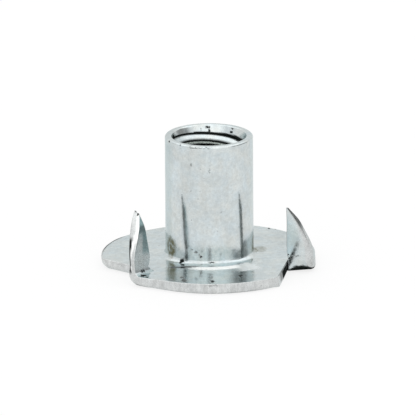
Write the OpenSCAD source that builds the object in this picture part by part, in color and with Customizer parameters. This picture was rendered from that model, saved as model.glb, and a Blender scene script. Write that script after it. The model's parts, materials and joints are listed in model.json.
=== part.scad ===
// Three-prong tee nut: a round sheet flange drawn up into a tapped barrel, with three
// fangs slit from the rim and turned up beside it. Millimetres, +Z up, the flange
// underside on z = 0 and the barrel on the Z axis.

/* [Flange] */
// Flange diameter across the round rim
flange_d = 19.5; // [18:0.1:22]
// Thickness of the sheet
sheet_t = 1; // [0.8:0.05:1.2]
// Radius the blanking leaves on the under edge of the rim
rim_roll = 0.24; // [0.1:0.02:0.4]

// Depth the rim is drawn in by where a prong bends up from it
draw_in = 0.24; // [0.05:0.01:0.5]
// Radius of the flattened rim beside a bend
draw_r = 10.8; // [10.4:0.1:14]
// Step by which a prong stands inside the flattened rim
rim_step = 0.03; // [0.02:0.01:0.1]

/* [Barrel] */
// Outside diameter of the barrel
barrel_d = 7.94; // [7.4:0.02:8.6]
// Height of the barrel above the upper face of the flange
barrel_h = 11.1; // [8:0.1:16]
// Fillet where the barrel rises from the flange
foot_r = 0.8; // [0.4:0.05:1.2]
// Rounding of the outer edge of the barrel mouth
lip_r = 0.2; // [0.05:0.05:0.4]

/* [Bore] */
// Diameter at the thread crests
bore_d = 5.2; // [4.9:0.05:5.5]
// Diameter of the countersink at the mouth
mouth_d = 6.8; // [6.2:0.05:7.2]
// Diameter at the floor of the countersink
sink_floor_d = 6.3; // [5.8:0.05:6.7]
// Depth of the countersink
sink_depth = 0.55; // [0.3:0.05:1]
// Length over which the first thread fades into the countersink
lead_in = 0.3; // [0.15:0.05:0.6]
// Radius of the drawn entry on the underside
entry_r = 1.1; // [0.5:0.05:1.3]

/* [Prongs] */
// Direction of the bend line of the first prong, seen from above
first_turn = -12; // [-30:1:30]
// Distance from the axis to the edge of the flange along a slit
slit_offset = 7.3; // [7:0.01:7.6]
// Width of the metal the slit takes from the side of a prong
slit_width = 0.06; // [0.04:0.01:0.3]
// Radius the slitting leaves on the inner face of a prong
slit_roll = 0.5; // [0.1:0.05:0.6]
// Distance of the bend line behind the foot of the slit
bend_back = 0.05; // [0:0.05:0.6]
// Inside radius of the bend
bend_in_r = 0.22; // [0.15:0.01:0.4]
// Depth by which every face of the metal thins in the bend
bend_thin = 0.01; // [0.01:0.005:0.03]
// Angle the first prong is turned up by
first_bend = 83; // [75:1:92]
// Angle the second prong is turned up by
second_bend = 78; // [75:1:92]
// Angle the third prong is turned up by
third_bend = 81; // [75:1:92]
// Width sheared off each point square to the rim, on the outer face
point_cut = 0.08; // [0.04:0.02:0.3]
// Further width sheared off the first point on the inner face
first_slant = 0.3; // [0.1:0.05:0.8]
// Further width sheared off the second point on the inner face
second_slant = 0.5; // [0.1:0.05:0.8]
// Further width sheared off the third point on the inner face
third_slant = 0.35; // [0.1:0.05:0.8]

/* [Hidden] */

prongs = 3;
turn_step = 360 / prongs;
bend_angles = [first_bend, second_bend, third_bend];
point_slants = [first_slant, second_slant, third_slant];
neutral_share = 0.45;
bend_lap = 4;
round_fn = 112;
bend_fn = 48;
edge_fn = 24;
reach = 1;

flange_r = flange_d / 2;
barrel_r = barrel_d / 2;
bore_r = bore_d / 2;
mouth_r = mouth_d / 2;
sink_floor_r = sink_floor_d / 2;
barrel_top = sheet_t + barrel_h;
sink_floor = barrel_top - sink_depth;
bend_out_r = bend_in_r + sheet_t;
bend_rim = flange_r - draw_in;
prong_rim = bend_rim - rim_step;
prong_side = slit_offset + slit_width;
point_turn = acos(prong_side / flange_r);
sheet_color = [0.74, 0.77, 0.78];

// Section of the sheet out to its rim: square upper edge, rolled under edge.
// Every face of it stands in by inset.
module rim_section(radius, inset = 0) {
    translate([0, inset]) square([radius - rim_roll, sheet_t - 2 * inset]);
    translate([0, rim_roll]) square([radius - inset, sheet_t - rim_roll - inset]);
    translate([radius - rim_roll, rim_roll]) circle(r = rim_roll - inset, $fn = edge_fn);
}

module disc(radius) {
    rotate_extrude($fn = round_fn) rim_section(radius);
}

// Blank the flange is left from: round, with its rim flattened beside every bend
module blank() {
    intersection() {
        disc(flange_r);
        intersection_for(i = [0 : prongs - 1])
            rotate([0, 0, i * turn_step]) translate([bend_rim - draw_r, 0, 0]) disc(draw_r);
    }
}

// Section across a prong: rolled under edge at the rim, rolled upper edge along the slit
module prong_section(inset = 0) {
    intersection() {
        rim_section(prong_rim, inset);
        union() {
            translate([prong_side + slit_roll, 0]) square([flange_r, sheet_t]);
            translate([prong_side + inset, 0]) square([flange_r, sheet_t - slit_roll]);
            translate([prong_side + slit_roll, sheet_t - slit_roll])
                circle(r = slit_roll - inset, $fn = edge_fn);
        }
    }
}

// Blank a prong is left from: round, with a straight edge rising from the bend
module prong_blank() {
    intersection() {
        disc(flange_r);
        rotate([90, 0, 0]) linear_extrude(height = flange_d, center = true) prong_section();
    }
}

// Half section of the barrel wall with its rounded lip
module barrel_half() {
    square([barrel_r, barrel_top - lip_r]);
    square([barrel_r - lip_r, barrel_top]);
    translate([barrel_r - lip_r, barrel_top - lip_r]) circle(r = lip_r, $fn = edge_fn);
}

// Fillet section in the corner between the flange and the barrel
module foot_half() {
    difference() {
        translate([barrel_r - lip_r, sheet_t / 2]) square([foot_r + lip_r, foot_r + sheet_t / 2]);
        translate([barrel_r + foot_r, sheet_t + foot_r]) circle(r = foot_r, $fn = 2 * edge_fn);
    }
}

// Section of everything drilled and tapped away inside the barrel
module bore_half() {
    square([bore_r, barrel_top + reach]);
    polygon([
        [0, sink_floor - lead_in],
        [bore_r, sink_floor - lead_in],
        [sink_floor_r, sink_floor],
        [mouth_r, barrel_top],
        [mouth_r, barrel_top + reach],
        [0, barrel_top + reach]
    ]);
    difference() {
        translate([0, -reach]) square([bore_r + entry_r, entry_r + reach]);
        translate([bore_r + entry_r, entry_r]) circle(r = entry_r, $fn = 2 * edge_fn);
    }
}

// Drawn body: flange, foot fillet and barrel with its bore
module drawn_body() {
    difference() {
        union() {
            blank();
            rotate_extrude($fn = round_fn) {
                barrel_half();
                foot_half();
            }
        }
        rotate_extrude($fn = round_fn) bore_half();
    }
}

// Space one prong leaves in the flange: outside its slit, in front of its bend line
module notch() {
    translate([slit_offset, -bend_back - flange_r, -reach])
        cube([flange_r, flange_r, sheet_t + 2 * reach]);
}

// The turned corner of a prong. Its ends run on by bend_lap inside the flange and the fang.
module bend(angle) {
    translate([0, -bend_back, bend_out_r])
        rotate([0, 90, 0])
            rotate([0, 0, -angle - bend_lap])
                rotate_extrude(angle = angle + 2 * bend_lap, $fn = bend_fn)
                    translate([bend_out_r, 0]) rotate([0, 0, 90]) prong_section(bend_thin);
}

// Upright part of a prong, cut from the blank and turned up about the bend axis
module fang(angle, slant) {
    bent_length = (bend_in_r + neutral_share * sheet_t) * angle * PI / 180;
    translate([0, -bend_back, bend_out_r])
        rotate([-angle, 0, 0])
            translate([0, bend_back + bent_length, -bend_out_r])
                difference() {
                    intersection() {
                        prong_blank();
                        translate([prong_side, -flange_r - bend_back - bent_length, -reach])
                            cube([flange_r, flange_r, sheet_t + 2 * reach]);
                    }
                    point_shear(slant);
                }
}

// Slanting cut that gives the prong its chisel point, square to the rim at the point
module point_shear(slant) {
    rotate([0, 0, -point_turn]) translate([0, flange_r / 2, 0]) rotate([90, 0, 0])
        linear_extrude(height = flange_r) polygon([
            [flange_r + reach, -reach],
            [flange_r + reach, sheet_t + reach],
            [flange_r - point_cut - (1 + reach / sheet_t) * slant, sheet_t + reach],
            [flange_r - point_cut + reach / sheet_t * slant, -reach]
        ]);
}

module tee_nut() {
    color(sheet_color) rotate([0, 0, first_turn]) {
        difference() {
            drawn_body();
            for (i = [0 : prongs - 1]) rotate([0, 0, -i * turn_step]) notch();
        }
        for (i = [0 : prongs - 1]) rotate([0, 0, -i * turn_step]) {
            bend(bend_angles[i]);
            fang(bend_angles[i], point_slants[i]);
        }
    }
}

tee_nut();
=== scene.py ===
import bpy
import bmesh
import json
from math import acos, atan2, cos, exp, hypot, pi, radians, sin, sqrt, tan
from mathutils import Matrix, Vector, noise


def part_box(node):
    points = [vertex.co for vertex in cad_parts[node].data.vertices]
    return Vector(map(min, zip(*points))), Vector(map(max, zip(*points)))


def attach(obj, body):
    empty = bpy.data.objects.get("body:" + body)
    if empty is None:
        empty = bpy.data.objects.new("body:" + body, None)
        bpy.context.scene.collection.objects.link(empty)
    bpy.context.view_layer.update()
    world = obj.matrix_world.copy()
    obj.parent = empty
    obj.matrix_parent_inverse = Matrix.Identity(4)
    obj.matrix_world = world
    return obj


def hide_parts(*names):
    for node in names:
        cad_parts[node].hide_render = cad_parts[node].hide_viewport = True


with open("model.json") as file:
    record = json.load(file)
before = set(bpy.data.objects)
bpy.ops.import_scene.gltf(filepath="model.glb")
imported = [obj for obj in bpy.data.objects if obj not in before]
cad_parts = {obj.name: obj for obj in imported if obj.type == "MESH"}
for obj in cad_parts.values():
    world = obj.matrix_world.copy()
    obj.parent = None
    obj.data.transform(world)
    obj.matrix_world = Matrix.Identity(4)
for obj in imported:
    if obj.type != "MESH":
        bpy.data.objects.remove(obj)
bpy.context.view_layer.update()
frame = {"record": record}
mounts = {m["name"]: m for m in frame["record"]["mounts"]}
nutLow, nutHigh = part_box("tee_nut")
mm = 0.001  # the shape is worked out in millimetres and written in metres
print("frame loaded")


def mix(a, b, share):
    return a + (b - a) * share


def clamp(value, low=0.0, high=1.0):
    return max(low, min(high, value))


def smooth(low, high, value):
    share = clamp((value - low) / (high - low))
    return share * share * (3 - 2 * share)


def softMin(a, b, blend):
    share = clamp(0.5 + 0.5 * (b - a) / blend)
    return mix(b, a, share) - blend * share * (1 - share)


def spread(low, high, steps, crowd=0.0):
    # steps + 1 values, drawn together at both ends as crowd goes to 1
    out = []
    for i in range(steps + 1):
        share = i / steps
        out.append(mix(low, high, mix(share, 0.5 - 0.5 * cos(pi * share), crowd)))
    return out


def band(value, start, full, fade, end):
    # 1 from full to fade, and 0 outside start and end
    return smooth(start, full, value) * smooth(end, fade, value)


class Wiring:
    # short calls for the nodes of one tree; a value is a number or another node's output

    def __init__(self, tree):
        self.nodes, self.links = tree.nodes, tree.links

    def add(self, kind, **inputs):
        node = self.nodes.new(kind)
        for name, value in inputs.items():
            self.feed(node.inputs[name], value)
        return node

    def feed(self, socket, value):
        if isinstance(value, bpy.types.NodeSocket):
            self.links.new(value, socket)
        else:
            socket.default_value = value

    def worked(self, kind, operation, values):
        node = self.add(kind)
        node.operation = operation
        for socket, value in zip(node.inputs, values):
            self.feed(socket, value)
        return node

    def math(self, operation, *values):
        return self.worked("ShaderNodeMath", operation, values).outputs[0]

    def times(self, a, b, limit=False):
        node = self.worked("ShaderNodeMath", "MULTIPLY", (a, b))
        node.use_clamp = limit
        return node.outputs[0]

    def vector(self, operation, *values, output=0):
        return self.worked("ShaderNodeVectorMath", operation, values).outputs[output]

    def parts(self, value):
        return self.add("ShaderNodeSeparateXYZ", Vector=value).outputs

    def speckle(self, place, scale, detail=3.0, rough=0.55, output="Fac"):
        node = self.add("ShaderNodeTexNoise", Vector=place, Scale=scale, Detail=detail, Roughness=rough)
        return node.outputs[output]

    def tint(self, share, a, b, kind="MIX"):
        node = self.add("ShaderNodeMix")
        node.data_type, node.blend_type = "RGBA", kind
        for name, value in (("Factor", share), ("A", a), ("B", b)):
            self.feed(node.inputs[name], value)
        return node.outputs["Result"]

    def ramp(self, value, low, high, start=0.0, end=1.0, kind="LINEAR"):
        node = self.add("ShaderNodeMapRange", Value=value)
        node.interpolation_type = kind
        for name, setting in zip(("From Min", "From Max", "To Min", "To Max"), (low, high, start, end)):
            self.feed(node.inputs[name], setting)
        return node.outputs["Result"]


# All sizes are in millimetres, turns in degrees. Thirds are counted from the right prong,
# the way the barrel is seen from above: right, back, front left.
nut = {
    "sheet": 1.0,
    "flangeRadius": 9.75,
    "drawIn": 0.29,          # the rim is flattened by this much beside a bend
    "drawRadius": 10.8,
    "drawBlend": 0.05,
    "foldTurn": 12.0,        # a prong's own rim runs into the flange's over this turn
    "barrelRadius": mounts["barrel"]["dims"]["r_mm"],
    "barrelTop": nutHigh[2] / mm,
    "footRadius": 0.46,
    "footLift": 0.14,        # the flange climbs this much towards the foot, at the front right
    "liftTurn": -50.0,
    "liftSide": (-0.3, 0.9),   # cosine of the turn from there where the lift starts and is full
    "liftLeast": 0.25,         # share of it that goes all round
    "liftRadius": 6.4,
    "lipRadius": 0.2,
    "mouthEdge": 0.07,
    "mouthRadius": 3.4,
    "sinkRadius": 3.12,
    "sinkDepth": 0.68,
    "leadIn": 0.35,
    "entryRadius": 1.1,
    "innerRing": 6.6,        # inside this the flange is plain rings
    "firstTurn": -12.0,
    "slitOffset": 7.3,
    "slitSplay": 0.035,      # sideways for each millimetre along it
    "slitEdge": 0.05,
    "slitUnder": 0.12,         # lower edge of a slit at its fold
    "slitRoll": (0.12, 0.12, 0.64),   # and further out
    "slitLean": (0.16, 0.0, -0.06),   # the foot of its face stands out by this much
    "slitCorner": 0.25,        # blend where a slit meets the rim
    "slitRollTurn": 9.0,
    "cornerRun": (0.01, 0.03), # in radians before and after the corner, where the rounding changes
    "footGap": 6.5,            # the slit has no columns this close to its fold
    "foldRoom": (6.7, 7.25, 2.2),     # a fold pushes columns from here, fully from here, and this far out
    "rimEdge": (0.04, 0.16),   # upper edge, on the crisp side and on the worn side
    "rimUnder": (0.45, 1.20),  # lower edge, likewise
    "rimFlat": 0.7,            # and how high it reaches, as a share of that
    "wornTurn": 160.0,
    "waviness": 0.018,         # the skin sinks by up to about this much
}

thread = {
    "pitch": 1.27,
    "crest": mounts["thread"]["dims"]["r_mm"],
    "root": 3.175,
    "wallRoom": 0.22,        # skin up to this far past the root is the bore's wall
    "crestShare": 0.27,      # of a pitch
    "flankShare": 0.33,
    "rootHeight": 11.255,    # the upper flank meets the root here, at the back of the bore
    "flare": 0.40,           # the groove opens out by this much into the mouth
    "flareStart": 11.25,
    "darkTop": (11.40, 11.48),   # the groove's painted shade is black up to here, then fades
    "darkFoot": (0.30, 1.30),    # and the painted shade goes black over this height at the entry
}

prong = {
    "bend": (83.0, 81.0, 78.0),
    "side": 7.36,
    "rim": (9.63, 9.48, 9.70),
    "cornerRadius": 1.22,    # fixes the plane of the fang, as the solid's bend does
    "bendBack": 0.05,
    "outerNear": (0.5, 0.5, 0.4),    # outer bend radius beside the slit
    "outerFar": (1.6, 1.0, 0.95),    # and at the rim
    "innerNear": (0.5, 0.55, 0.35),
    "innerFar": (0.35, 0.4, 0.5),
    "slant": (0.18, 0.25, 0.36),     # the inner face is this much narrower towards the point
    "thinning": (0.55, 0.5, 0.55),   # and its point is coined away by this much
    "thinReach": 2.0,
    "neck": (0.08, 0.12, 0.45),      # the slit side is cut in by this much above the fold
    "neckAt": (1.15, 0.6),           # how far up the blank, and its reach
    "bow": 0.05,
    "slitRound": 0.10,
    "tipWidth": (0.12, 0.04, 0.04),
    "draft": (0.09, 0.0, 0.0),       # the slit side leans in by this much towards the point
    "heel": (0.0, 0.0, 0.10),        # the fold swells outwards by this much
    "footUnder": (0.45, 0.80, 0.68),  # rounding of the rim's lower edge beside the fold
    "rollFoot": (0.7, 0.7, 0.40),    # and up along the outer edge of the fang
    "rollMid": (0.7, 0.7, 1.25),
    "rollTip": 0.10,
    "rollDepth": (0.45, 0.45, 0.62),
    "arc": (9.81, 9.75, 9.78),       # the cut that shapes the outer side
    "arcBlend": 0.16,
    "foldMiddle": 0.67,              # radius that the blank's length goes by in the fold
    "edge": 0.05,
}

# how many rows or columns of points each stretch has
grain = {"full": 44, "notch": 24, "barrelRows": 18, "topRows": 12, "outRows": 6, "crossRows": 8,
         "bendRows": 9, "fangRows": 32, "arc": 5, "thread": (4, 5, 4, 5)}

cornerTurn = acos(nut["slitOffset"] / nut["flangeRadius"]) - nut["slitSplay"]
third = 2 * pi / 3


class Skin:
    # grids of points that share their borders, later merged into one closed shell; each point also
    # keeps how far it is on a cut edge, where it was on the flat blank, and its painted shade, highlight
    # and darker tone

    def __init__(self):
        self.points, self.faces, self.cuts, self.flats, self.tones = [], [], [], [], []

    def addGrid(self, rows, cuts=None, flats=None, tones=None):
        start, width = len(self.points), len(rows[0])
        for row, flat, tone in zip(rows, flats or rows, tones or rows):
            self.points.extend(row)
            self.flats.extend(flat)
            self.cuts.extend(cuts or [0.0] * width)
            self.tones.extend(tone if tones else [(paintedShadeAt(*p), 0.0, 0.0) for p in row])
        for r in range(len(rows) - 1):
            for c in range(width - 1):
                a = start + r * width + c
                self.faces.append((a, a + 1, a + width + 1, a + width))

    def addCap(self, count):
        start = len(self.points) - count - 1
        self.faces.append(tuple(range(start, start + count)))


def turned(point, angle):
    x, y, z = point
    return x * cos(angle) - y * sin(angle), x * sin(angle) + y * cos(angle), z


def thirdTurn(k):
    return radians(nut["firstTurn"]) + k * third


def worn(angle, pair):
    share = 0.5 + 0.5 * cos(angle - radians(nut["wornTurn"]))
    return mix(pair[0], pair[1], share ** 3)


def edgeProfile(top, under, depth=None, lean=0.0):
    # (inset, height) pairs down the cut edge of the sheet, both corners rounded
    depth = under if depth is None else depth
    out = [(top * (1 - sin(a)), nut["sheet"] - top * (1 - cos(a))) for a in spread(0, pi / 2, 4)]
    out += [(0.0, mix(depth, nut["sheet"] - top, share)) for share in (0.75, 0.5, 0.25)]
    out += [(under * (1 - sin(a)), depth * (1 - cos(a))) for a in spread(pi / 2, 0, grain["arc"])]
    return [(d - lean * (1 - h / nut["sheet"]), h) for d, h in out]


def rimRadius(turn):
    shift = nut["flangeRadius"] - nut["drawIn"] - nut["drawRadius"]
    flat = shift * cos(turn) + sqrt(nut["drawRadius"] ** 2 - (shift * sin(turn)) ** 2)
    return softMin(nut["flangeRadius"], flat, nut["drawBlend"])


def atFold(turn):
    # 1 at a bend line, and 0 from where the rim is the flange's own
    return smooth(radians(nut["foldTurn"]), 0, turn)


def edgeRadius(turn, k):
    # outline of one third, from its own bend line at 0 to the next bend line
    back = third - turn
    rim = min(rimRadius(turn), rimRadius(back)) + (prong["rim"][k] - rimRadius(0)) * atFold(turn)
    if back > radians(85):   # too far round for the next slit
        return rim
    slit = nut["slitOffset"] / (cos(back) - nut["slitSplay"] * sin(back))
    return softMin(rim, slit, nut["slitCorner"])


def edgePoint(turn, inset, k):
    # a point this far in from the outline, square to it
    nudge = 0.002
    low, high = max(turn - nudge, 0), min(turn + nudge, third)
    slope = (edgeRadius(high, k) - edgeRadius(low, k)) / (high - low)
    r = edgeRadius(turn, k)
    x, y = r - inset * r / hypot(r, slope), inset * slope / hypot(r, slope)
    return turned((x, y, 0), turn + thirdTurn(k))[:2]


def alongFold(k, w):
    # 0 at the slit side of a prong and 1 at its rim
    return clamp((w - prong["side"]) / (prong["rim"][k] - prong["side"]))


def bendLine(k, w):
    # virtual corners of the fold at distance w along it, and the radii that round them
    share = alongFold(k, w)
    outer = mix(prong["outerNear"][k], prong["outerFar"][k], share)
    inner = mix(prong["innerNear"][k], prong["innerFar"][k], share)
    half = tan(radians(prong["bend"][k]) / 2)
    outerCorner = -prong["bendBack"] - prong["cornerRadius"] * half
    return outerCorner, outer, outerCorner + nut["sheet"] * half, inner, half


def seamHeightwise(k, w, h):
    outerCorner, outer, innerCorner, inner, half = bendLine(k, w)
    return mix(outerCorner + outer * half, innerCorner + inner * half, h / nut["sheet"])


def seamPoint(k, w, h):
    return w, seamHeightwise(k, w, h), h


def fullTurns():
    return spread(0, third - cornerTurn, grain["full"], 0.6)


def notchTurns():
    return spread(third - cornerTurn, third - radians(nut["footGap"]), grain["notch"], 0.5) + [third]


def allTurns():
    turns = fullTurns() + notchTurns()[1:]
    return [t + thirdTurn(k) for k in range(3) for t in turns[k > 0:]]


# Bore, mouth, barrel and foot are rings over the same columns as the flange.

def boreRadiusAt(z):
    crest, entry = thread["crest"], nut["entryRadius"]
    sinkFloor = nut["barrelTop"] - nut["sinkDepth"]
    if z < entry:
        return crest + entry - sqrt(entry ** 2 - (entry - z) ** 2)
    if z > sinkFloor:
        return mix(nut["sinkRadius"], nut["mouthRadius"], (z - sinkFloor) / nut["sinkDepth"])
    if z > sinkFloor - nut["leadIn"]:
        return mix(crest, nut["sinkRadius"], (z - sinkFloor + nut["leadIn"]) / nut["leadIn"])
    return crest


def crestHeight(angle):
    backCrest = thread["rootHeight"] - thread["pitch"] * (thread["flankShare"] + thread["crestShare"] / 2)
    return backCrest + thread["pitch"] * (angle - pi / 2) / (2 * pi)


def addBore(skin, turns, low):
    # rows climb with the thread, so that its edges fall on them; they close up at both ends
    high = nut["barrelTop"] - nut["mouthEdge"]
    crest, flank = thread["crestShare"], thread["flankShare"]
    corners = [-crest / 2, crest / 2, crest / 2 + flank, 1 - crest / 2 - flank, 1 - crest / 2]
    shares = []
    for start, end, steps in zip(corners, corners[1:], grain["thread"]):
        shares += spread(start, end, steps)[:-1]
    rows = []
    lowest = int((low - crestHeight(turns[-1])) / thread["pitch"]) - 2
    for n in range(lowest, 3):
        for share in shares:
            row = []
            for a in turns:
                z = clamp(crestHeight(a) + thread["pitch"] * (n + share), low, high)
                r = boreRadiusAt(z)
                row.append((r * cos(a), r * sin(a), z))
            rows.append(row)
    skin.addGrid(rows)


def footLift(angle, r):
    # the flange isn't quite flat around the foot
    side = smooth(*nut["liftSide"], cos(angle - radians(nut["liftTurn"])))
    out = smooth(nut["barrelRadius"] + 0.3, nut["liftRadius"], r)
    return nut["footLift"] * mix(nut["liftLeast"], 1.0, side) * (1 - out)


def barrelSection():
    # (radius, height) pairs from the mouth over the lip, down the barrel and out past its foot
    top, r, edge, mouth = nut["barrelTop"], nut["barrelRadius"], nut["mouthEdge"], nut["mouthRadius"]
    lip, foot = nut["lipRadius"], nut["footRadius"]
    out = [(boreRadiusAt(top - edge), top - edge)]
    for a in spread(0, pi / 2, 3)[1:]:
        out.append((mouth + edge * (1 - cos(a)), top - edge * (1 - sin(a))))
    out.append(((mouth + edge + r - lip) / 2, top))
    for a in spread(0, pi / 2, grain["arc"]):
        out.append((r - lip * (1 - sin(a)), top - lip * (1 - cos(a))))
    for z in spread(top - lip, nut["sheet"] + foot, grain["barrelRows"])[1:]:
        out.append((r, z))
    for a in spread(0, pi / 2, 10)[1:]:
        out.append((r + foot * (1 - cos(a)), nut["sheet"] + foot * (1 - sin(a))))
    for ring in spread(r + foot, nut["innerRing"], grain["topRows"])[1:]:
        out.append((ring, nut["sheet"]))
    return out


def entrySection(low):
    # and from under the flange in to the bore
    entry, crest = nut["entryRadius"], thread["crest"]
    out = [(r, 0.0) for r in spread(nut["innerRing"], crest + entry, 6)]
    for a in spread(0, acos((entry - low) / entry), 4)[1:-1]:
        out.append((crest + entry - entry * sin(a), entry - entry * cos(a)))
    return out + [(boreRadiusAt(low), low)]


# A painted highlight on the flange round the foot, and painted shade down the barrel's left side: middle
# in degrees, half width round it in radians, reach outwards, and how strong.
footMarks = {
    "rubbedRing": {"turn": 277.0, "wide": (0.30, 0.62), "out": (4.65, 4.85, 5.25, 5.6), "share": 0.9},
    "rubbedPatch": {"turn": 306.0, "wide": (0.10, 0.26), "out": (4.5, 4.8, 6.2, 7.0), "share": 0.45},
    "dullSide": {"turn": 197.0, "wide": (0.16, 0.36), "out": (3.0, 3.1, 4.0, 4.2), "share": 0.24},
}


def footMark(name, angle, r):
    mark = footMarks[name]
    aside = smooth(*mark["wide"], abs(angle - radians(mark["turn"])))
    return mark["share"] * (1 - aside) * band(r, *mark["out"])


def footPaintedLight(angle, r, z):
    # how much painted shade, painted highlight and painted darker tone a point of the rings gets
    paintedHighlight = max(footMark("rubbedRing", angle, r), footMark("rubbedPatch", angle, r)) * smooth(1.3, 1.15, z)
    paintedShade = footMark("dullSide", angle, r) * band(z, 2.6, 3.4, 11.8, 12.05)
    return paintedShadeAt(r * cos(angle), r * sin(angle), z), paintedHighlight, paintedShade


def addRings(skin, turns, section, lifted=False):
    rows, tones = [], []
    for r, z in section:
        near = smooth(nut["sheet"] + nut["footRadius"], nut["sheet"], z) if lifted else 0.0
        rows.append([(r * cos(a), r * sin(a), z + near * footLift(a, r)) for a in turns])
        tones.append([footPaintedLight(a % (2 * pi), r, z) if lifted else (0.0, 0.0, 0.0) for a in turns])
    skin.addGrid(rows, tones=tones)


# The flange runs out from its rings one third at a time, full sheet first and then the notch.

def between(a, b, steps):
    return [tuple(mix(p, q, i / steps) for p, q in zip(a, b)) for i in range(steps + 1)]


def scaled(point, scale):
    return point[0] * scale, point[1] * scale, point[2]


def pushedOff(k, base, point):
    # near a fold the columns give way to the rounding of its inner corner
    near, full, reach = nut["foldRoom"]
    w, y, h = turned(point, -base)
    start = seamHeightwise(k, w, h)
    if w < near or y > reach or start < 0:
        return point
    y = mix(y, start + y * (reach - start) / reach, smooth(near, full, w))
    return turned((w, y, h), base)


def columnEdge(k, turn):
    # edge of the sheet at this turn: it changes from the rim's rounding to the slit's
    after = (k + 1) % 3
    angle = turn + thirdTurn(k)
    before, past = nut["cornerRun"]
    onSlit = smooth(third - cornerTurn - before, third - cornerTurn + past, turn)
    top = mix(worn(angle, nut["rimEdge"]), nut["slitEdge"], onSlit)
    rimUnder = mix(worn(angle, nut["rimUnder"]), prong["footUnder"][k], atFold(turn))
    outwards = smooth(third, third - radians(nut["slitRollTurn"]), turn)
    under = mix(rimUnder, mix(nut["slitUnder"], nut["slitRoll"][after], outwards), onSlit)
    lean = nut["slitLean"][after] * onSlit * smooth(third, third - cornerTurn, turn)
    return edgeProfile(top, under, under * mix(nut["rimFlat"], 1.0, onSlit), lean)


def flangeColumn(k, turn, kind):
    # one column of points from the inner ring out over the edge and back below
    base, t, a = thirdTurn(k), nut["sheet"], turn + thirdTurn(k)
    profile = columnEdge(k, turn)
    if kind == "foot":
        edge = [turned(seamPoint((k + 1) % 3, nut["slitOffset"] - d, h), base + third) for d, h in profile]
    elif kind == "bend":
        edge = [turned(seamPoint(k, prong["rim"][k] - d, h), base) for d, h in profile]
    else:
        edge = [edgePoint(turn, d, k) + (h,) for d, h in profile]
        if kind == "full":
            edge = [pushedOff(k, base, p) for p in edge]
    if kind in ("notch", "foot"):
        cross, crossUnder = edge[:1], edge[-1:]
    elif kind == "bend":
        slit = edgeProfile(nut["slitEdge"], nut["slitUnder"])
        starts = [nut["slitOffset"] - slit[end][0] for end in (0, -1)]
        ends = [prong["rim"][k] - profile[end][0] for end in (0, -1)]
        cross = [turned(seamPoint(k, w, t), base)
                 for w in spread(starts[0], ends[0], grain["crossRows"])]
        crossUnder = [turned(seamPoint(k, w, 0.0), base)
                      for w in spread(ends[1], starts[1], grain["crossRows"])]
    else:
        share = (turn / (third - cornerTurn)) ** 1.5
        midTop, midUnder = (scaled(p, mix(nut["slitOffset"] / hypot(p[0], p[1]), 1.0, share))
                            for p in (edge[0], edge[-1]))
        cross = [pushedOff(k, base, p) for p in between(midTop, edge[0], grain["crossRows"])[:-1]]
        cross.append(edge[0])
        crossUnder = between(edge[-1], midUnder, grain["crossRows"])
    upper = between(turned((nut["innerRing"], 0, t), a), cross[0], grain["outRows"])
    lower = between(crossUnder[-1], turned((nut["innerRing"], 0, 0.0), a), grain["outRows"])
    column = upper + cross[1:] + edge[1:] + crossUnder[1:] + lower[1:]
    cuts = [0.0] * (len(upper) + len(cross) - 2) + [0.3] + [1.0] * (len(edge) - 2) + [0.3]
    return column, cuts + [0.0] * (len(column) - len(cuts))


def addFlange(skin):
    for k in range(3):
        for turns, kinds in ((fullTurns(), ("bend", "full", "full")),
                             (notchTurns(), ("notch", "notch", "foot"))):
            made = [flangeColumn(k, t, kinds[(i > 0) + (i == len(turns) - 1)])
                    for i, t in enumerate(turns)]
            skin.addGrid([column for column, _ in made], made[-1][1])


# Each prong grows from its seam loop, round the fold and up to its point.

def flatStart(k):
    # how far up the blank the fang's straight part starts
    bend = radians(prong["bend"][k])
    return prong["cornerRadius"] * tan(bend / 2) - prong["bendBack"] - prong["foldMiddle"] * bend


def rimWidth(k, u, h):
    down = u - flatStart(k)
    arc = sqrt(max(prong["arc"][k] ** 2 - down * down, 0.01))
    narrower = prong["slant"][k] * smooth(2.0, 4.2, u) * h / nut["sheet"]
    return softMin(prong["rim"][k], arc, prong["arcBlend"]) - narrower


def sideWidth(k, u):
    middle, reach = prong["neckAt"]
    neck = prong["neck"][k] * exp(-((u - middle) / reach) ** 2)
    return prong["side"] + neck + prong["draft"][k] * smooth(2.0, 5.5, u)


def tipReach(k, h):
    # how far up the blank both sides of a fang have come together
    low, high = 3.0, 8.0
    for _ in range(40):
        u = (low + high) / 2
        if rimWidth(k, u, h) - sideWidth(k, u) > prong["tipWidth"][k]:
            low = u
        else:
            high = u
    return low


tips = [(tipReach(k, 0.0), tipReach(k, nut["sheet"])) for k in range(3)]


def fangEdges(k, row):
    # the rounding of both sides of a fang's section, from the flange's own at row 0
    share = clamp((row - grain["bendRows"]) / grain["fangRows"])
    turn = smooth(0, 1, clamp(row / grain["bendRows"]))
    upper = mix(prong["rollMid"][k], prong["rollTip"], share)
    roll = mix(prong["footUnder"][k], mix(prong["rollFoot"][k], upper, smooth(0, 0.15, share)), turn)
    depth = roll * mix(nut["rimFlat"], prong["rollDepth"][k], turn)
    rim = edgeProfile(mix(worn(thirdTurn(k), nut["rimEdge"]), prong["edge"], turn), roll, depth)
    slitTop = mix(nut["slitEdge"], prong["slitRound"], turn)
    return rim, edgeProfile(slitTop, mix(nut["slitUnder"], prong["edge"], turn))


def loopShape(rim, slit):
    # (part, along, inset, height): along runs from the slit at 0 to the rim at 1
    n = grain["crossRows"]
    out = [("face", i / n, 0.0, nut["sheet"]) for i in range(n + 1)]
    out += [("rim", 1.0, d, h) for d, h in rim[1:-1]]
    out += [("under", 1 - i / n, 0.0, 0.0) for i in range(n + 1)]
    out += [("slit", 0.0, d, h) for d, h in reversed(slit[1:-1])]
    return out


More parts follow.
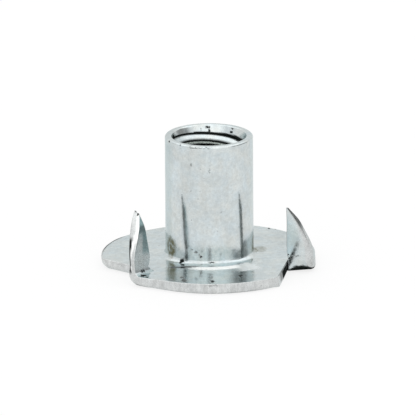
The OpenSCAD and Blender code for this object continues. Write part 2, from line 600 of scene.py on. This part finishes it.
def fangPoint(k, row, part, along, inset, h, rim, slit):
    # a point of the fang's section at this row, and the same point on its flat blank
    bend, sheet, rows = radians(prong["bend"][k]), nut["sheet"], grain["bendRows"]
    folding = row <= rows
    guess = mix(prong["side"], prong["rim"][k], along)
    outerCorner, outer, innerCorner, inner, half = bendLine(k, guess)
    ahead = (innerCorner - outerCorner) * -cos(bend) + sheet * sin(bend)
    starts = {True: outer * half, False: inner * half + ahead}

    def climb(onOuter):
        # how far up the blank this row is, on the outer or the inner face
        if folding:
            return starts[onOuter] * row / rows * 0.6
        tip = tips[k][0] if onOuter else tips[k][1]
        return mix(starts[onOuter], tip, clamp((row - rows) / grain["fangRows"]) ** 0.9)

    def place(w, onOuter):
        # out and up from the bend line, on one face
        corner, radius, z = (outerCorner, outer, 0.0) if onOuter else (innerCorner, inner, sheet)
        angle = bend * row / rows if folding else bend
        y = corner + radius * half - radius * sin(angle)
        z += radius * (1 - cos(angle))
        if not folding:
            run = climb(onOuter) - starts[onOuter]
            y -= run * cos(bend)
            z += run * sin(bend)
        across = alongFold(k, w)
        risen = smooth(0.2, 0.5, row / (rows + grain["fangRows"]))
        off = prong["bow"] * (1 - (2 * across - 1) ** 2) * risen
        if onOuter:
            off -= prong["heel"][k] * smooth(0, 0.6, row / rows) * smooth(rows + 5, rows - 1, row) * across
        else:
            tip = tips[k][0]
            off += prong["thinning"][k] * smooth(tip - prong["thinReach"], tip, climb(False)) ** 1.2
        return y - off * sin(angle), z - off * cos(angle)

    share = h / sheet
    u = mix(climb(True), climb(False), share)
    blend = smooth(0, 1, clamp(row / rows))
    wide = mix(prong["rim"][k], rimWidth(k, min(u, 1.0) if folding else u, h), blend)
    narrow = mix(nut["slitOffset"], sideWidth(k, u), blend)
    room = max(wide - narrow, 0.03)
    squeeze = min([1.0] + [room / (rim[end][0] + slit[end][0] + 0.02) for end in (0, -1)])
    if part in ("face", "under"):
        end = 0 if part == "face" else -1
        w = mix(narrow + slit[end][0] * squeeze, wide - rim[end][0] * squeeze, along)
    else:
        w = wide - inset * squeeze if part == "rim" else narrow + inset * squeeze
    yOuter, zOuter = place(w, True)
    yInner, zInner = place(w, False)
    return (w, mix(yOuter, yInner, share), mix(zOuter, zInner, share)), (w, -u, h)


# Painted shade and highlights on the fangs, up the blank of a fang, or up the sheet where h is named: from
# none to full, or a whole band.
fangMarks = {
    "edgeDark": (3.6, 4.8),
    "edgeInset": (0.22, 0.05),
    "shearH": (0.58, 0.46),  # painted shade line down the left fang's outer edge
    "shearRun": (0.9, 1.3, 3.9, 4.3),
    "tornLowH": (0.46, 0.62),  # a painted highlight strip above it, between two lines that climb
    "tornLowRise": (3.6, 4.6),
    "tornHighH": (0.60, 0.80),
    "tornHighRise": (2.2, 3.6),
    "tornRun": (0.8, 1.4, 5.7, 6.2),
    "tornTop": (4.0, 3.4),
    "deepTip": (3.6, 4.8),
    "deepSide": (1.8, 3.0),
    "deepAcross": (0.6, 0.3),
    "deepFoot": (0.6, 1.0),
    "paleFoot": (0.6, 0.9, 2.4, 3.6),
}


def fangPaintedLight(k, part, along, inset, u, h):
    # how much painted shade, painted highlight and painted darker tone a point of the right or the left
    # fang gets
    marks, soot, paintedHighlight, paintedShade = fangMarks, 0.0, 0.0, 0.0
    # the right fang's outer edge is painted darker, more towards its point
    if k == 0 and part == "rim":
        soot = (0.15 + 0.65 * smooth(*marks["edgeDark"], u)) * smooth(*marks["edgeInset"], inset)
    if k == 2 and part == "rim":
        soot = smooth(*marks["shearH"], h) * band(u, *marks["shearRun"])
        low = mix(*marks["tornLowH"], smooth(*marks["tornLowRise"], u))
        high = mix(*marks["tornHighH"], smooth(*marks["tornHighRise"], u))
        paintedHighlight = smooth(low, low + 0.1, h) * band(u, *marks["tornRun"])
        paintedHighlight *= 1 - smooth(high - 0.06, high + 0.06, h) * smooth(*marks["tornTop"], u)
    if k == 2 and part == "face":
        side = smooth(*marks["deepAcross"], along) * smooth(*marks["deepSide"], u)
        paintedShade = max(smooth(*marks["deepTip"], u), side, 0.3 * smooth(*marks["deepFoot"], u))
        paintedHighlight = 0.25 * band(u, *marks["paleFoot"])
    return soot, paintedHighlight, paintedShade


def seamLoop(k, shape, rim, slit):
    # the loop that a prong shares with the flange, along its bend line
    span = {}
    for part, end in (("face", 0), ("under", -1)):
        span[part] = (nut["slitOffset"] - slit[end][0], prong["rim"][k] - rim[end][0])
    out = []
    for part, along, inset, h in shape:
        if part in span:
            w = mix(*span[part], along)
        else:
            w = prong["rim"][k] - inset if part == "rim" else nut["slitOffset"] - inset
        out.append(seamPoint(k, w, h))
    return out


def addProngs(skin):
    for k in range(3):
        base, edges = thirdTurn(k), fangEdges(k, 0)
        shape = loopShape(*edges)
        seam = seamLoop(k, shape, *edges)
        loops, flats, tones = [seam], [seam], [[(0.0, 0.0, 0.0)] * len(seam)]
        for row in range(1, grain["bendRows"] + grain["fangRows"] + 1):
            edges = fangEdges(k, row)
            pieces = loopShape(*edges)
            made = [fangPoint(k, row, *piece, *edges) for piece in pieces]
            loops.append([point for point, _ in made])
            flats.append([flat for _, flat in made])
            tones.append([fangPaintedLight(k, part, along, inset, -flat[1], h)
                          for (part, along, inset, h), (_, flat) in zip(pieces, made)])
        cuts = [{"rim": 1.0, "slit": 1.6}.get(part, 0.0) for part, _, _, _ in shape]
        loops = [[turned(p, base) for p in loop] for loop in loops]
        flats = [[turned(p, base) for p in loop] for loop in flats]
        tones = [[(max(paintedShadeAt(*p), tone[0]), *tone[1:]) for p, tone in zip(loop, row)]
                 for loop, row in zip(loops, tones)]
        closed = [[loop + loop[:1] for loop in grid] for grid in (loops, flats, tones)]
        skin.addGrid(closed[0], cuts + cuts[:1], closed[1], closed[2])
        skin.addCap(len(shape))


# Painted shade under the folds and on the right slit's face, in place of the dark contact shadow that they
# reflect,
# and along the rim: w is along its bend line, v out from it and h up. Again from none to full, or a whole
# band.
paintedShadeMarks = {
    "slitAway": (0.18, 0.12),
    "slitH": (0.08, 0.3, 0.85, 1.0),
    "slitStart": (-0.4, -1.2),
    "slitFull": (-4.4, -3.5),
    "slitHalf": (-5.6, -4.6),
    "foldLow": 0.2,  # how high the painted shade reaches under a fold
    "foldMore": (0.44, 0.1, 0.1),  # and how much higher in its middle
    "foldMiddle": (7.4, 8.3, 9.0, 9.9),
    "foldSide": (7.25, 7.4),
    "foldStart": (0.6, 0.2),
    "foldEnd": (-4.2, -3.2),
    "others": 0.4,  # the other two folds have this much of it
    "farRim": (0.45, 0.15),  # radians either side of farTurn
    "farTurn": 2.75,
    "frontH": (0.16, 0.08),
    "frontX": (5.4, 4.2),
    "frontY": (-5.5, -7.5),
}


def paintedShadeAt(x, y, z):
    marks, dark = paintedShadeMarks, 0.0
    for k in range(3):
        w, v, h = turned((x, y, z), -thirdTurn(k))
        if w > 7.0 and -7 < v < 0.5:
            top = marks["foldLow"] + marks["foldMore"][k] * band(w, *marks["foldMiddle"])
            under = smooth(top + 0.05, top - 0.04, h) * smooth(*marks["foldSide"], w)
            under *= smooth(*marks["foldStart"], v)
            under *= marks["others"] if k else smooth(*marks["foldEnd"], v)
            dark = max(dark, under)
            if k == 0:
                off = abs(w + nut["slitSplay"] * v - nut["slitOffset"] - nut["slitEdge"])
                slit = max(smooth(*marks["slitFull"], v), 0.5 * smooth(*marks["slitHalf"], v))
                slit *= smooth(*marks["slitAway"], off) * smooth(*marks["slitStart"], v)
                dark = max(dark, slit * band(h, *marks["slitH"]))
    # painted shade along the far edge of the rim, and low on it in front
    r = hypot(x, y)
    if r > 9.55 and z > 0.8:
        dark = max(dark, 0.8 * smooth(*marks["farRim"], abs(atan2(y, x) - marks["farTurn"])))
    if r > 9.3:
        low = smooth(*marks["frontH"], z) * smooth(*marks["frontY"], y) * smooth(*marks["frontX"], x)
        dark = max(dark, 0.4 * low)
    return dark


def threadTree(sizes):
    # opens the bore out to the thread's own section, which climbs once a turn
    tree = bpy.data.node_groups.new("cutThread", "GeometryNodeTree")
    face, wires = tree.interface, Wiring(tree)
    face.new_socket("Geometry", in_out="INPUT", socket_type="NodeSocketGeometry")
    inputs = {name: face.new_socket(name, in_out="INPUT", socket_type="NodeSocketFloat").identifier
              for name in sizes}
    paint = face.new_socket("Material", in_out="INPUT", socket_type="NodeSocketMaterial")
    inputs["Material"] = paint.identifier
    face.new_socket("Geometry", in_out="OUTPUT", socket_type="NodeSocketGeometry")
    math, times, ramp, size = wires.math, wires.times, wires.ramp, wires.add("NodeGroupInput").outputs

    x, y, z = wires.parts(wires.add("GeometryNodeInputPosition").outputs[0])
    radius = math("SQRT", math("ADD", times(x, x), times(y, y)))
    turn = math("DIVIDE", math("ARCTAN2", y, x), 2 * pi)
    below = math("DIVIDE", math("SUBTRACT", size["crestHeight"], z), size["pitch"])
    phase = math("FRACT", math("ADD", math("ADD", below, turn), 0.5))
    away = math("ABSOLUTE", math("SUBTRACT", phase, 0.5))
    halfCrest = times(size["crestShare"], 0.5)
    flare = ramp(z, size["flareStart"], size["top"], 0.0, size["flare"])
    rise = ramp(away, halfCrest, math("ADD", halfCrest, size["flankShare"]),
                size["crest"], math("ADD", size["root"], flare))
    # only the wall of the bore gives way, so the cut ends at the mouth's own edge
    inBore = math("LESS_THAN", radius, math("ADD", size["root"], thread["wallRoom"] * mm))
    grow = math("DIVIDE", math("MAXIMUM", radius, times(rise, inBore)), radius)

    def marked(geometry, name, points, share):
        # keeps a mask over one turn of the thread for the plating to read, painted shade in the groove and
        # painted light on the crest
        curve = wires.add("ShaderNodeFloatCurve", Value=phase)
        line = curve.mapping.curves[0]
        line.points[0].location, line.points[1].location = points[0], points[-1]
        for spot in points[1:-1]:
            line.points.new(*spot)
        for point in line.points:
            point.handle_type = "VECTOR"
        curve.mapping.update()
        store = wires.add("GeometryNodeStoreNamedAttribute", Geometry=geometry, Name=name)
        store.data_type, store.domain = "FLOAT", "POINT"
        wires.feed(store.inputs["Value"], times(curve.outputs[0], share))
        return store.outputs[0]

    isDeep = times(math("LESS_THAN", z, size["flareStart"]), inBore)
    # the groove is painted black in the bore as shade, fading out towards the mouth and the entry
    isCut = math("MAXIMUM", math("GREATER_THAN", grow, 1.0002), isDeep)   # 1.0002 leaves rounding out
    upTo, gone = (h * mm for h in thread["darkTop"])
    isCut = math("MAXIMUM", isCut, times(ramp(z, gone, upTo), inBore))
    isCut = times(isCut, ramp(z, *(h * mm for h in thread["darkFoot"])))
    # both masks follow the crest's two corners; phase 0.5 is its middle and 0 the root's
    low, high = 0.5 - thread["crestShare"] / 2, 0.5 + thread["crestShare"] / 2
    shown = marked(size["Geometry"], "groove",
                   [(0.0, 1.0), (0.04, 1.0), (0.08, 0.0), (low - 0.09, 0.0), (low - 0.03, 1.0),
                    (low + 0.07, 1.0), (low + 0.12, 0.0), (high - 0.05, 0.0), (high, 1.0),
                    (1.0, 1.0)], isCut)
    shown = marked(shown, "crest",
                   [(0.0, 0.0), (low + 0.07, 0.0), (low + 0.12, 1.0), (high - 0.05, 1.0), (high, 0.0),
                    (1.0, 0.0)], isDeep)
    put = wires.add("ShaderNodeCombineXYZ", X=times(x, grow), Y=times(y, grow), Z=z)
    move = wires.add("GeometryNodeSetPosition", Geometry=shown, Position=put.outputs[0])
    real = wires.add("GeometryNodeRealizeInstances", Geometry=move.outputs[0])
    painted = wires.add("GeometryNodeSetMaterial", Geometry=real.outputs[0], Material=size["Material"])
    wires.feed(wires.add("NodeGroupOutput").inputs[0], painted.outputs[0])
    return tree, inputs


def cutThread(obj, material):
    sizes = {name: thread[name] * mm for name in ("pitch", "crest", "root", "flare", "flareStart")}
    sizes.update({"crestHeight": crestHeight(0.0) * mm, "top": nut["barrelTop"] * mm,
                  "crestShare": thread["crestShare"], "flankShare": thread["flankShare"]})
    tree, inputs = threadTree(sizes)
    modifier = obj.modifiers.new("cutThread", "NODES")
    modifier.node_group = tree
    for name, value in sizes.items():
        modifier[inputs[name]] = value
    modifier[inputs["Material"]] = material
    done = bpy.data.meshes.new_from_object(obj.evaluated_get(bpy.context.evaluated_depsgraph_get()))
    obj.modifiers.clear()
    obj.data = done


def roughen(bm):
    # pressed sheet is never quite flat: every outer face sinks a little, here more, there less
    bm.normal_update()
    for v in bm.verts:
        p = v.co / mm
        inMouth = hypot(p.x, p.y) < nut["mouthRadius"] + 0.2 and p.z < nut["barrelTop"] - 0.02
        if p.z < 0.3 or inMouth:
            continue
        slow = noise.noise(p * 0.32 + Vector((3.1, 7.7, 1.3)))
        quick = noise.noise(p * 0.9 + Vector((8.2, 2.4, 5.5)))
        sink = nut["waviness"] * (0.5 + 0.5 * slow + 0.16 * quick)
        v.co -= v.normal * max(sink, 0.0) * mm * smooth(0.3, 0.8, p.z)
    # and none may leave the solid's own box
    for v in bm.verts:
        v.co = Vector(clamp(c, low, high) for c, low, high in zip(v.co, nutLow, nutHigh))


def buildNut(material):
    skin = Skin()
    turns = allTurns()
    low = nut["entryRadius"] * 0.11     # where the bore's rows meet the entry's rings
    addBore(skin, turns, low)
    addRings(skin, turns, barrelSection(), lifted=True)
    addRings(skin, turns, entrySection(low))
    addFlange(skin)
    addProngs(skin)
    mesh = bpy.data.meshes.new("nutSkin")
    mesh.from_pydata([tuple(c * mm for c in p) for p in skin.points], [], skin.faces)
    mesh.attributes.new("cut", "FLOAT", "POINT").data.foreach_set("value", skin.cuts)
    for name, rows in (("blank", skin.flats), ("tone", skin.tones)):
        kept = mesh.attributes.new(name, "FLOAT_VECTOR", "POINT")
        kept.data.foreach_set("vector", [c for row in rows for c in row])
    bm = bmesh.new()
    bm.from_mesh(mesh)
    bmesh.ops.remove_doubles(bm, verts=bm.verts, dist=1e-7)
    bmesh.ops.dissolve_degenerate(bm, dist=1e-8, edges=bm.edges)
    bmesh.ops.recalc_face_normals(bm, faces=bm.faces)
    roughen(bm)
    loose = [e for e in bm.edges if len(e.link_faces) != 2]
    volume = round(bm.calc_volume() / mm ** 3, 2)
    print("nut skin", len(bm.verts), "points,", len(loose), "open edges, volume", volume, "mm3")
    bm.to_mesh(mesh)
    bm.free()
    obj = bpy.data.objects.new("teeNut", mesh)
    bpy.context.scene.collection.objects.link(obj)
    cutThread(obj, material)
    obj.data.shade_smooth()
    obj.data.set_sharp_from_angle(angle=radians(38))
    return obj


finish = {
    "cool": (0.620, 0.690, 0.712, 1),
    "warm": (0.665, 0.700, 0.686, 1),
    "cutTone": (0.66, 0.672, 0.668, 1),
    "crestTone": (0.90, 0.97, 0.92, 1),
    # painted highlight, on the flange round the foot and on the left fang
    "bareTone": (0.97, 0.98, 0.97, 1),
    # painted shade, down the barrel's left side and on the left fang's face
    "deepTone": (0.23, 0.34, 0.35, 1),
    # black for painted shade, for nicks, for the groove's painted shade and for the fangs' slit sides
    "soot": (0.012, 0.015, 0.014, 1),
    "olive": (0.17, 0.165, 0.10, 1),
    "broadScale": 0.42,      # patches per millimetre
    "fineScale": 2.6,
    "grainScale": 9.5,
    "drawnScale": (2.6, 2.6, 0.16),
    "tornScale": (4.5, 4.5, 0.9),
    "roughness": (0.09, 0.22),
    "dents": 0.009,
}

# centre, reach along x, y and z, and how dark: nicks and specks that the plating shows, and painted shade
# and painted reflections of dark things
nicksAndShade = [
    ((-2.56, -3.28, 1.32), (0.4, 0.34, 0.34), 1.0),
    ((-0.08, 3.29, 11.86), (0.26, 0.3, 0.13), 1.0),
    ((0.02, 3.18, 11.58), (0.14, 0.3, 0.2), 0.8),
    ((-3.22, 0.45, 11.74), (0.25, 0.9, 0.22), 1.0),
    ((0.04, 2.9, 10.84), (0.28, 0.3, 0.2), 0.9),
    ((2.11, 2.58, 11.93), (0.19, 0.2, 0.12), 1.0),
    ((2.03, 2.48, 11.62), (0.17, 0.2, 0.14), 1.0),
    ((0.24, -8.85, 1.0), (0.26, 0.5, 0.2), 0.8),
    ((2.76, -7.1, 1.0), (0.22, 0.36, 0.2), 1.0),
    ((2.07, -5.75, 1.0), (0.1, 0.2, 0.2), 0.6),
    ((5.4, 7.94, 1.0), (0.14, 0.3, 0.2), 0.9),
    ((5.95, 7.65, 1.0), (0.1, 0.2, 0.2), 0.7),
    ((-3.57, -1.69, 11.96), (0.14, 0.2, 0.12), 0.9),
    ((-2.56, -2.96, 12.02), (0.1, 0.14, 0.1), 0.8),
    ((-1.58, -3.63, 10.36), (0.11, 0.2, 0.11), 0.45),
    ((0.0, -3.96, 9.8), (0.06, 0.2, 0.36), 0.3),
    ((-1.55, -3.64, 2.42), (0.12, 0.3, 0.1), 0.5),
    ((-1.22, -3.76, 2.22), (0.16, 0.3, 0.14), 0.55),
    ((-0.96, -3.84, 2.05), (0.1, 0.2, 0.12), 0.6),
    ((-0.78, -3.88, 1.86), (0.12, 0.2, 0.16), 0.8),
    ((7.05, -2.86, 1.66), (0.08, 0.3, 0.12), 0.9),
    ((7.12, -2.84, 1.36), (0.1, 0.3, 0.12), 0.9),
    ((7.75, -3.01, 1.62), (0.5, 0.3, 0.08), 0.4),
    ((-6.57, -4.05, 6.18), (0.17, 0.18, 0.13), 1.0),
    ((-6.38, -4.29, 5.92), (0.1, 0.16, 0.28), 1.0),
    ((-5.8, -6.35, 1.25), (0.52, 0.36, 0.22), 0.8),
    ((-5.92, -6.8, 1.0), (0.36, 0.26, 0.2), 0.9),
    ((-5.62, -7.32, 1.0), (0.2, 0.24, 0.2), 0.9),
    ((0.2, -9.74, 0.86), (0.85, 0.3, 0.1), 0.34),
    ((-2.5, -4.48, 1.05), (1.9, 0.3, 0.3), 0.66),
    ((-2.45, -4.6, 1.05), (0.34, 0.26, 0.2), 0.8),
    ((-3.3, -4.35, 1.05), (0.34, 0.24, 0.2), 0.7),
    ((-0.85, -3.8, 11.97), (1.5, 0.6, 0.06), 0.55),
    ((0.2, -3.98, 1.31), (0.36, 0.3, 0.07), 0.9),
    ((-8.7, -4.3, 0.8), (1.7, 2.4, 0.06), 0.42),
    ((-2.3, -8.5, 1.0), (0.34, 0.7, 0.2), 0.68),
    ((-2.45, -7.5, 1.0), (0.26, 0.4, 0.2), 0.6),
    ((-3.47, -8.4, 1.0), (0.26, 0.4, 0.2), 0.5),
    ((0.22, -7.3, 1.0), (0.06, 1.0, 0.2), 0.5),
]

stains = [
    ((-3.45, -1.9, 2.2), (0.85, 1.1, 1.2), 1.0),
    ((3.98, -0.3, 2.05), (0.42, 1.2, 1.1), 0.95),
    ((4.05, 0.6, 1.5), (0.5, 1.3, 0.9), 0.95),
    ((4.55, 1.0, 1.05), (0.7, 1.4, 0.4), 0.6),
]


def spotMask():
    # one soft-edged spot, full at its centre and 0 past its reach
    tree = bpy.data.node_groups.new("spotMask", "ShaderNodeTree")
    face, wires = tree.interface, Wiring(tree)
    for name in ("Place", "Centre", "Reach", "Depth", "Others"):
        kind = "NodeSocketFloat" if name in ("Depth", "Others") else "NodeSocketVector"
        face.new_socket(name, in_out="INPUT", socket_type=kind)
    face.new_socket("Mask", in_out="OUTPUT", socket_type="NodeSocketFloat")
    spot = wires.add("NodeGroupInput").outputs
    off = wires.vector("DIVIDE", wires.vector("SUBTRACT", spot["Place"], spot["Centre"]), spot["Reach"])
    away = wires.vector("LENGTH", off, output="Value")
    mask = wires.ramp(away, 1.0, 0.55, 0.0, spot["Depth"], "SMOOTHSTEP")
    wires.feed(wires.add("NodeGroupOutput").inputs[0], wires.math("MAXIMUM", mask, spot["Others"]))
    return tree


def gathered(wires, group, spots, place):
    # all spots of one kind in one mask
    mask = 0.0
    for centre, reach, depth in spots:
        node = wires.add("ShaderNodeGroup")
        node.node_tree = group
        for socket, value in zip(node.inputs, (place, centre, reach, depth, mask)):
            wires.feed(socket, value)
        mask = node.outputs["Mask"]
    return mask


def zincPlate():
    material = bpy.data.materials.new("zincPlate")
    material.use_nodes = True
    wires, shader = Wiring(material.node_tree), material.node_tree.nodes["Principled BSDF"].inputs
    math, times, ramp, vector = wires.math, wires.times, wires.ramp, wires.vector
    speckle, tint = wires.speckle, wires.tint
    wires.feed(shader["Specular Tint"], (0.85, 0.88, 0.88, 1))
    wires.feed(shader["Specular IOR Level"], 0.0)   # the painted black has no shine of its own

    place = vector("MULTIPLY", wires.add("ShaderNodeTexCoord").outputs["Object"], (1 / mm, 1 / mm, 1 / mm))
    wander = vector("SUBTRACT", speckle(place, 4.0, 3, 0.6, "Color"), (0.5, 0.5, 0.5))
    loose = vector("ADD", place, vector("MULTIPLY", wander, (0.5, 0.5, 0.5)))
    broad = speckle(place, finish["broadScale"])
    hue = speckle(vector("ADD", place, (11.0, 4.0, 7.0)), finish["broadScale"] * 1.9, 4, 0.6)
    fine = speckle(place, finish["fineScale"], 5, 0.62)
    dust = speckle(place, finish["grainScale"], 2, 0.5)

    # lines drawn up the barrel by the punch
    out = vector("LENGTH", vector("MULTIPLY", place, (1, 1, 0)), output="Value")
    onBarrel = times(ramp(out, 4.3, 4.1), ramp(wires.parts(place)["Z"], 1.6, 2.6))
    drawn = speckle(vector("MULTIPLY", place, finish["drawnScale"]), 1.0, 4, 0.65)

    # what the mesh carries, with its painted shade, highlight and darker tone, and tearing across the cut
    # edges of the sheet
    kept = {}
    for name in ("cut", "blank", "tone", "groove", "crest"):
        node = wires.add("ShaderNodeAttribute")
        node.attribute_name = name
        kept[name] = node.outputs["Vector" if name in ("blank", "tone") else "Fac"]
    soot, paintedHighlight, paintedShade = wires.parts(kept["tone"])
    torn = speckle(vector("MULTIPLY", kept["blank"], finish["tornScale"]), 1.0, 4, 0.65)
    onCut = math("MINIMUM", kept["cut"], 1.0)
    slitSideDark = ramp(kept["cut"], 1.0, 1.6, 0.0, 0.5)   # the slit side of a fang, painted half black

    # the plating's own colour, then its tears, stains, painted highlights, painted shade and nicks
    shade = times(ramp(broad, 0.3, 0.7, 0.90, 1.06), ramp(fine, 0.3, 0.7, 0.88, 1.08))
    shade = times(shade, ramp(dust, 0.3, 0.7, 0.94, 1.05))
    lines = times(ramp(drawn, 0.3, 0.7, -0.035, 0.03), onBarrel)
    tears = times(ramp(torn, 0.3, 0.65, -0.14, 0.07), onCut)
    for marks in (lines, tears):
        shade = times(shade, math("ADD", marks, 1.0))
    grey = wires.add("ShaderNodeCombineColor", Red=shade, Green=shade, Blue=shade).outputs[0]
    colour = tint(ramp(hue, 0.35, 0.65), finish["cool"], finish["warm"])
    colour = tint(times(onCut, 0.8), colour, finish["cutTone"])
    colour = tint(1.0, colour, grey, "MULTIPLY")
    spot = spotMask()
    stained = times(gathered(wires, spot, stains, loose), ramp(fine, 0.28, 0.54))
    colour = tint(stained, colour, finish["olive"])
    colour = tint(paintedHighlight, colour, finish["bareTone"])
    paintedShadeShare = times(paintedShade, ramp(fine, 0.3, 0.65, 0.75, 1.1), limit=True)
    colour = tint(paintedShadeShare, colour, finish["deepTone"])
    # painted light on the thread's crests deep in the bore, which are also made rougher
    colour = tint(kept["crest"], colour, finish["crestTone"])
    pits = ramp(speckle(vector("ADD", place, (5.0, 9.0, 2.0)), 3.4, 2, 0.5), 0.72, 0.78, 0.0, 0.4)
    nickedAndShaded = times(math("MAXIMUM", gathered(wires, spot, nicksAndShade, loose), pits), 1.2, limit=True)
    grooveShade = times(kept["groove"], ramp(fine, 0.3, 0.7, 1.3, 1.1), limit=True)
    black = times(soot, ramp(fine, 0.25, 0.6, 1.3, 0.95), limit=True)
    for mask in (slitSideDark, nickedAndShaded, grooveShade):
        black = math("MAXIMUM", black, mask)
    colour = tint(black, colour, finish["soot"])
    wires.feed(shader["Base Color"], colour)
    wires.feed(shader["Metallic"], math("SUBTRACT", 1.0, math("MAXIMUM", black, paintedHighlight)))

    gloss = ramp(fine, 0.3, 0.7, *finish["roughness"])
    for mask, rougher in ((onCut, 0.1), (math("ADD", stained, black), 0.2), (paintedHighlight, 0.45),
                          (kept["crest"], 0.6)):
        gloss = math("ADD", gloss, times(mask, rougher))
    wires.feed(shader["Roughness"], gloss)

    relief = fine
    for mask, height in ((dust, 0.22), (lines, 1.6), (tears, 0.9), (nickedAndShaded, -0.7)):
        relief = math("ADD", relief, times(mask, height))
    bump = wires.add("ShaderNodeBump", Strength=0.6, Distance=finish["dents"] * mm, Height=relief)
    wires.feed(shader["Normal"], bump.outputs[0])
    return material


floorLook = {
    "size": 20.0,            # metres from the middle to each side
    "below": 0.02,
    "albedo": 0.84,
    "glow": 0.80,            # share of the floor that shows plain white, the rest takes shadow
}


def addFloor():
    size, z, tone = floorLook["size"], nutLow[2] - floorLook["below"] * mm, floorLook["albedo"]
    corners = [(-size, -size, z), (size, -size, z), (size, size, z), (-size, size, z)]
    mesh = bpy.data.meshes.new("floor")
    mesh.from_pydata(corners, [], [(0, 1, 2, 3)])
    floor = bpy.data.objects.new("floor", mesh)
    bpy.context.scene.collection.objects.link(floor)
    material = bpy.data.materials.new("whiteFloor")
    material.use_nodes = True
    wires, nodes = Wiring(material.node_tree), material.node_tree.nodes
    paint = nodes["Principled BSDF"]
    for name, value in (("Base Color", (tone, tone, tone, 1)), ("Roughness", 0.9),
                        ("Specular IOR Level", 0.0)):
        wires.feed(paint.inputs[name], value)
    # the camera and the plating see it plain white, and only its share of paint takes shadow
    ray = wires.add("ShaderNodeLightPath").outputs
    seen = wires.math("MAXIMUM", ray["Is Camera Ray"], ray["Is Glossy Ray"])
    seen = wires.math("MAXIMUM", seen, ray["Is Transmission Ray"])
    blend = wires.add("ShaderNodeMixShader")
    for socket, value in zip(blend.inputs, (wires.times(seen, floorLook["glow"]),
                                            paint.outputs[0], wires.add("ShaderNodeEmission").outputs[0])):
        wires.feed(socket, value)
    wires.feed(nodes["Material Output"].inputs["Surface"], blend.outputs[0])
    mesh.materials.append(material)


view = {
    "target": (-0.117, 0.0, 5.252),
    "distance": 1735.9,
    "elevation": 0.2849,     # radians, as the roll
    "roll": -0.0060,
    "focal": 19320.6,        # in dots of a render this wide
    "renderWidth": 416,
    "sensor": 36.0,
}

studio = {
    "ceiling": 1.35,
    "ceilingFrom": 22.0,     # degrees above the floor where it starts, and where it is full
    "ceilingFull": 48.0,
    "wall": 0.94,
    "front": 1.35,           # the wall that the camera looks from
    "frontTop": 40.0,
    "frontSide": (-0.75, -0.45),   # full up to here and gone from here, along y
    "right": 0.40,
    "rightTop": 32.0,
    "rightSide": (0.80, 0.93),     # none up to here and full from here, along x
    "lens": 0.05,            # a dark disc where the camera stands
    "lensSize": 4.5,
    "fade": 12.0,            # degrees over which the front and the right end upwards
}


def setWorld():
    world = bpy.data.worlds.new("tent")
    bpy.context.scene.world = world
    world.use_nodes = True
    wires, background = Wiring(world.node_tree), world.node_tree.nodes["Background"]
    math, times, ramp = wires.math, wires.times, wires.ramp

    def soft(value, low, high, start, end):
        return ramp(value, low, high, start, end, "SMOOTHSTEP")

    way = wires.add("ShaderNodeTexCoord").outputs["Generated"]
    x, y, z = wires.parts(way)
    height = math("ARCSINE", z)
    glow = soft(height, radians(studio["ceilingFrom"]), radians(studio["ceilingFull"]),
                studio["wall"], studio["ceiling"])
    for name, across in (("front", soft(y, *studio["frontSide"], 1, 0)),
                         ("right", soft(x, *studio["rightSide"], 0, 1))):
        top = studio[name + "Top"]
        mask = times(across, soft(height, radians(top - studio["fade"]), radians(top), 1, 0))
        change = times(mask, 1 - studio[name])
        glow = times(glow, math("SUBTRACT", 1.0, change))
    towards = (0, -cos(view["elevation"]), sin(view["elevation"]))
    facing = wires.vector("DOT_PRODUCT", way, towards, output="Value")
    edge = cos(radians(studio["lensSize"]))
    glow = times(glow, soft(facing, edge - 0.001, edge + 0.001, 1, studio["lens"]))
    wires.feed(background.inputs["Color"], (1, 1, 1, 1))
    wires.feed(background.inputs["Strength"], glow)


def addCamera():
    data = bpy.data.cameras.new("camera")
    camera = bpy.data.objects.new("camera", data)
    bpy.context.scene.collection.objects.link(camera)
    data.sensor_width = view["sensor"]
    data.lens = view["focal"] / view["renderWidth"] * view["sensor"]
    data.clip_start, data.clip_end = 0.01, 100.0
    e = view["elevation"]
    target = Vector(view["target"]) * mm
    camera.location = target + Vector((0, -cos(e), sin(e))) * view["distance"] * mm
    look = Matrix.Rotation(pi / 2 - e, 4, "X") @ Matrix.Rotation(view["roll"], 4, "Z")
    camera.matrix_world = Matrix.Translation(camera.location) @ look
    bpy.context.scene.camera = camera


material = zincPlate()
teeNut = buildNut(material)
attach(teeNut, "root")
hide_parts("tee_nut")
print("nut built")
addFloor()
setWorld()
addCamera()
bpy.context.scene.view_settings.view_transform = "Standard"
bpy.context.scene.cycles.glossy_bounces = 12
bpy.context.scene.cycles.max_bounces = 16
print("stage set")
